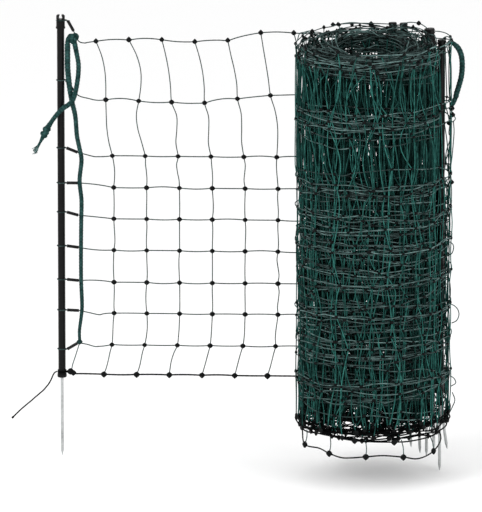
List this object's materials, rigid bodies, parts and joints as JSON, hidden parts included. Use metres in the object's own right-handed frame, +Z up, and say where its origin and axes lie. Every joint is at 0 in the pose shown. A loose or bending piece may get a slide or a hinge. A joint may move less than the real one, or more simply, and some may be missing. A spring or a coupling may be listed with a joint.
{
  "type": "poultry fence net",
  "caption": "Part-rolled livestock net on slotted posts with steel ground spikes, a rope along its end and an open panel beside the roll.",
  "frame": {"origin": "on the end post's axis at the bottom face of its foot, where the ground is and the spike starts", "axes": "+Z up along the end post; +X along the open panel towards the roll; +Y away from the side that the roll lies on"},
  "size_m": [1.3834, 0.5088, 1.3753],
  "materials": {
    "black_plastic": "semi-matt black moulded plastic",
    "galvanised_steel": "dull galvanised",
    "net_cord": "twisted grey-green twine",
    "bottom_cord": "smooth black cord",
    "green_rope": "dark teal braided rope",
    "rolled_netting": "dark green and black netting wound in layers"
  },
  "bodies": {
    "end_post": {"end_post_tube": "black_plastic", "end_post_foot": "black_plastic", "end_post_cap": "black_plastic", "end_post_spike": "galvanised_steel"},
    "net_panel": {"row_cord_01": "net_cord", "row_cord_02": "net_cord", "row_cord_03": "net_cord", "row_cord_04": "net_cord", "row_cord_05": "net_cord", "row_cord_06": "net_cord", "row_cord_07": "net_cord", "row_cord_08": "net_cord", "row_cord_09": "net_cord", "row_cord_10": "bottom_cord", "cord_sleeve_01": "black_plastic", "cord_sleeve_02": "black_plastic", "cord_sleeve_03": "black_plastic", "cord_sleeve_04": "black_plastic", "cord_sleeve_05": "black_plastic", "cord_sleeve_06": "black_plastic", "cord_sleeve_07": "black_plastic", "cord_sleeve_08": "black_plastic", "cord_sleeve_09": "black_plastic", "foot_clamp": "black_plastic", "upright_1": "net_cord", "upright_2": "net_cord", "upright_3": "net_cord", "upright_4": "net_cord", "upright_5": "net_cord", "upright_6": "net_cord", "upright_7": "net_cord", "upright_8": "net_cord", "edge_upright": "net_cord", "edge_rope": "green_rope", "rope_knot": "green_rope", "rope_tail": "green_rope", "bottom_cord_tail": "bottom_cord"},
    "roll": {"net_roll": "rolled_netting", "end_rope_loop": "green_rope"},
    "rolled_post_1": {"rolled_post_1_tube": "black_plastic", "rolled_post_1_cap": "black_plastic", "rolled_post_1_spike": "galvanised_steel"},
    "rolled_post_2": {"rolled_post_2_tube": "black_plastic", "rolled_post_2_cap": "black_plastic", "rolled_post_2_spike": "galvanised_steel"},
    "rolled_post_3": {"rolled_post_3_tube": "black_plastic", "rolled_post_3_cap": "black_plastic", "rolled_post_3_spike": "galvanised_steel"},
    "rolled_post_4": {"rolled_post_4_tube": "black_plastic", "rolled_post_4_cap": "black_plastic", "rolled_post_4_spike": "galvanised_steel"},
    "rolled_post_5": {"rolled_post_5_tube": "black_plastic", "rolled_post_5_cap": "black_plastic", "rolled_post_5_spike": "galvanised_steel"},
    "rolled_post_6": {"rolled_post_6_tube": "black_plastic", "rolled_post_6_cap": "black_plastic", "rolled_post_6_spike": "galvanised_steel"}
  },
  "joints": [
    {"name": "panel_swing", "type": "hinge", "parent": "end_post", "child": "net_panel", "pos_m": [0, 0, 0], "axis": [0, 0, 1], "continuous": true},
    {"name": "roll_swing", "type": "hinge", "parent": "net_panel", "child": "roll", "pos_m": [0.95212, -0.04627, 0], "axis": [0, 0, 1], "range_deg": [0, 120]},
    {"name": "rolled_post_1_spin", "type": "hinge", "parent": "roll", "child": "rolled_post_1", "pos_m": [1.157, -0.2185, -0.041], "axis": [0, 0, 1], "continuous": true},
    {"name": "rolled_post_2_spin", "type": "hinge", "parent": "roll", "child": "rolled_post_2", "pos_m": [1.119, -0.13, -0.0218], "axis": [-0.0003, 0, 1], "continuous": true},
    {"name": "rolled_post_3_spin", "type": "hinge", "parent": "roll", "child": "rolled_post_3", "pos_m": [1.0913, -0.112, -0.0102], "axis": [-0.0414, 0.0239, 0.9989], "continuous": true},
    {"name": "rolled_post_4_spin", "type": "hinge", "parent": "roll", "child": "rolled_post_4", "pos_m": [1.064, -0.0955, -0.011], "axis": [-0.046, 0.0228, 0.9987], "continuous": true},
    {"name": "rolled_post_5_spin", "type": "hinge", "parent": "roll", "child": "rolled_post_5", "pos_m": [1.1388, -0.159, -0.015], "axis": [-0.0124, -0.0018, 0.9999], "continuous": true},
    {"name": "rolled_post_6_spin", "type": "hinge", "parent": "roll", "child": "rolled_post_6", "pos_m": [1.163, -0.189, -0.0103], "axis": [-0.0341, -0.0053, 0.9994], "continuous": true}
  ]
}
